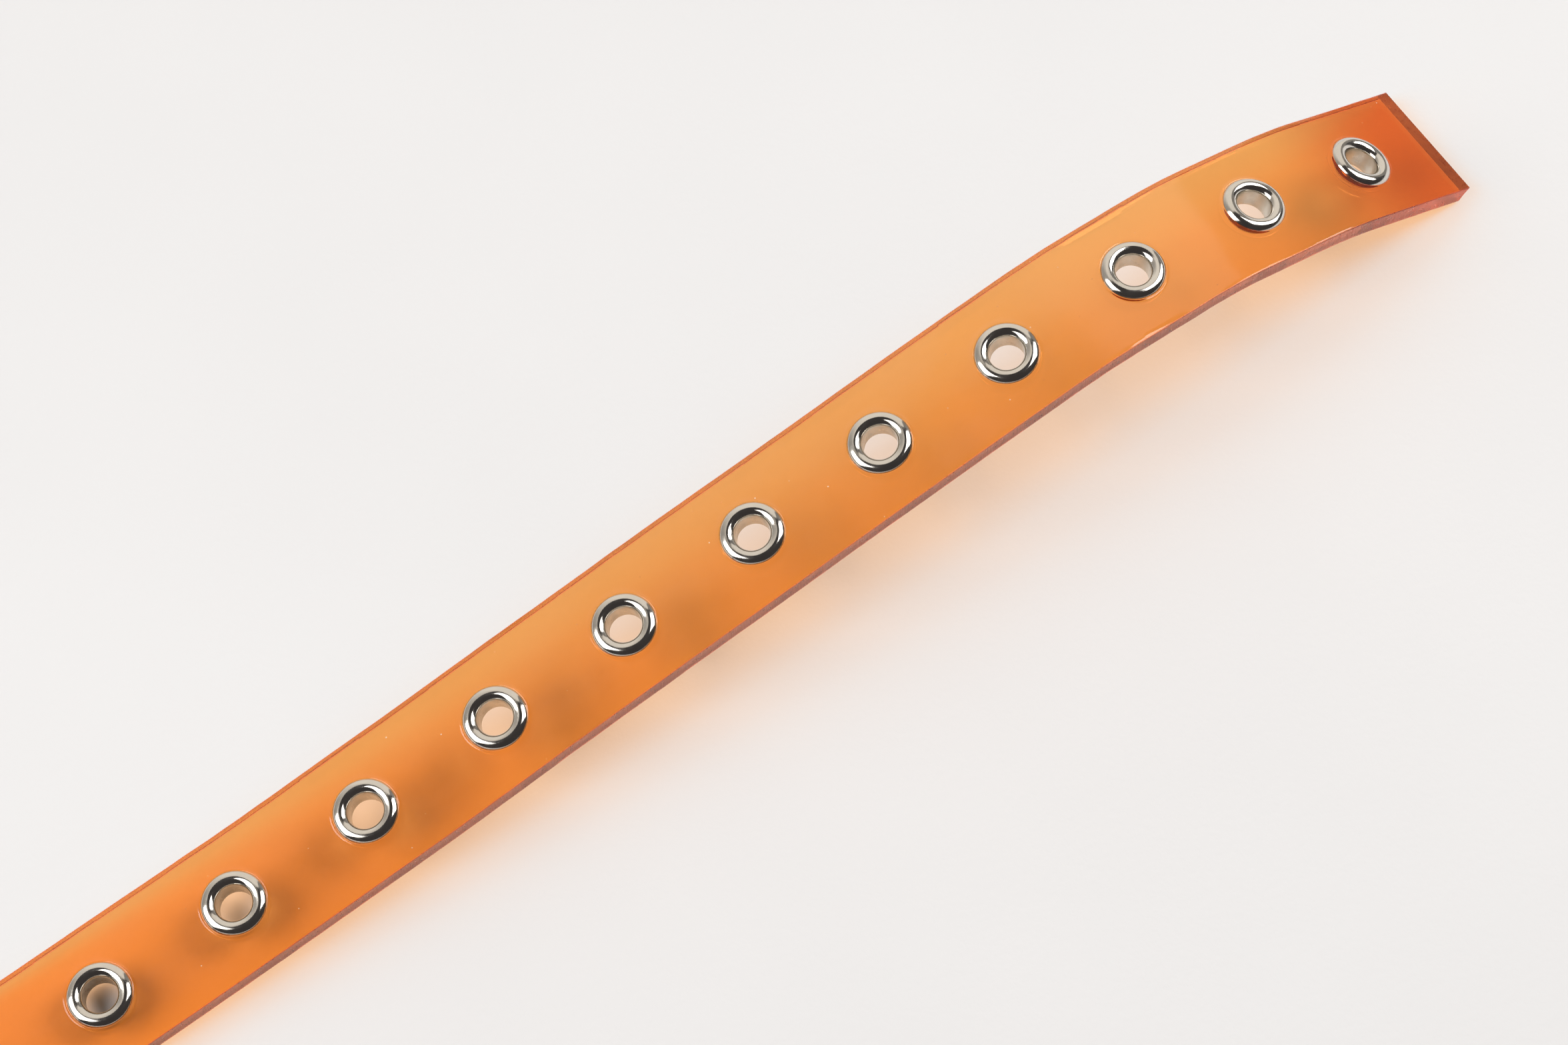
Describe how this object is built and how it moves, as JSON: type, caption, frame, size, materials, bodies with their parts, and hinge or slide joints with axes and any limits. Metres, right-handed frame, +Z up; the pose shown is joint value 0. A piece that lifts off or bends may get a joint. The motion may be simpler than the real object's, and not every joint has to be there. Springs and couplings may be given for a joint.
{
  "type": "eyeleted flat belt",
  "caption": "Cut length of flat translucent polyurethane belting with a row of metal eyelets along its middle; it flexes between the eyelets.",
  "frame": {"origin": "on the table, at the middle of the belt's plan outline", "axes": "+X along the belt towards the end that bends down to the table, +Y across the belt, +Z up, out of the face with the domed flanges"},
  "size_m": [0.2674, 0.02, 0.0235],
  "materials": {
    "belt": "translucent orange polyurethane, satin-gloss faces, knife-cut edges",
    "eyelet": "bright nickel plate"
  },
  "bodies": {
    "station_01": {"belt_01": "belt", "eyelet_01": "eyelet"},
    "station_02": {"belt_02": "belt", "eyelet_02": "eyelet"},
    "station_03": {"belt_03": "belt", "eyelet_03": "eyelet"},
    "station_04": {"belt_04": "belt", "eyelet_04": "eyelet"},
    "station_05": {"belt_05": "belt", "eyelet_05": "eyelet"},
    "station_06": {"belt_06": "belt", "eyelet_06": "eyelet"},
    "station_07": {"belt_07": "belt", "eyelet_07": "eyelet"},
    "station_08": {"belt_08": "belt", "eyelet_08": "eyelet"},
    "station_09": {"belt_09": "belt", "eyelet_09": "eyelet"},
    "station_10": {"belt_10": "belt", "eyelet_10": "eyelet"},
    "station_11": {"belt_11": "belt", "eyelet_11": "eyelet"},
    "station_12": {"belt_12": "belt", "eyelet_12": "eyelet"}
  },
  "joints": [
    {"name": "flex_01", "type": "hinge", "parent": "station_01", "child": "station_02", "pos_m": [-0.10764, 0, 0.00296], "axis": [0, 1, 0], "range_deg": [-25, 25], "stiffness_Nm_per_rad": 0.06, "springref_deg": 1.26},
    {"name": "flex_02", "type": "hinge", "parent": "station_02", "child": "station_03", "pos_m": [-0.08568, 0, 0.00424], "axis": [0, 1, 0], "range_deg": [-24, 26], "stiffness_Nm_per_rad": 0.06, "springref_deg": 2.86},
    {"name": "flex_03", "type": "hinge", "parent": "station_03", "child": "station_04", "pos_m": [-0.06374, 0, 0.0059], "axis": [0, 1, 0], "range_deg": [-22.5, 27.5], "stiffness_Nm_per_rad": 0.06, "springref_deg": 4.18},
    {"name": "flex_04", "type": "hinge", "parent": "station_04", "child": "station_05", "pos_m": [-0.0419, 0, 0.00852], "axis": [0, 1, 0], "range_deg": [-23.5, 26.5], "stiffness_Nm_per_rad": 0.06, "springref_deg": 5.1},
    {"name": "flex_05", "type": "hinge", "parent": "station_05", "child": "station_06", "pos_m": [-0.02013, 0, 0.01171], "axis": [0, 1, 0], "range_deg": [-26, 24], "stiffness_Nm_per_rad": 0.06, "springref_deg": 5.67},
    {"name": "flex_06", "type": "hinge", "parent": "station_06", "child": "station_07", "pos_m": [0.00169, 0, 0.01451], "axis": [0, 1, 0], "range_deg": [-25.5, 24.5], "stiffness_Nm_per_rad": 0.06, "springref_deg": 5.96},
    {"name": "flex_07", "type": "hinge", "parent": "station_07", "child": "station_08", "pos_m": [0.02353, 0, 0.01713], "axis": [0, 1, 0], "range_deg": [-25, 25], "stiffness_Nm_per_rad": 0.06, "springref_deg": 5.84},
    {"name": "flex_08", "type": "hinge", "parent": "station_08", "child": "station_09", "pos_m": [0.04538, 0, 0.01974], "axis": [0, 1, 0], "range_deg": [-26.5, 23.5], "stiffness_Nm_per_rad": 0.06, "springref_deg": 5.39},
    {"name": "flex_09", "type": "hinge", "parent": "station_09", "child": "station_10", "pos_m": [0.06728, 0, 0.02179], "axis": [0, 1, 0], "range_deg": [-34, 16], "stiffness_Nm_per_rad": 0.06, "springref_deg": 4.53},
    {"name": "flex_10", "type": "hinge", "parent": "station_10", "child": "station_11", "pos_m": [0.08924, 0, 0.02038], "axis": [0, 1, 0], "range_deg": [-39, 11], "stiffness_Nm_per_rad": 0.06, "springref_deg": 3.38},
    {"name": "flex_11", "type": "hinge", "parent": "station_11", "child": "station_12", "pos_m": [0.1102, 0, 0.0137], "axis": [0, 1, 0], "range_deg": [-36, 14], "stiffness_Nm_per_rad": 0.06, "springref_deg": 1.95}
  ]
}
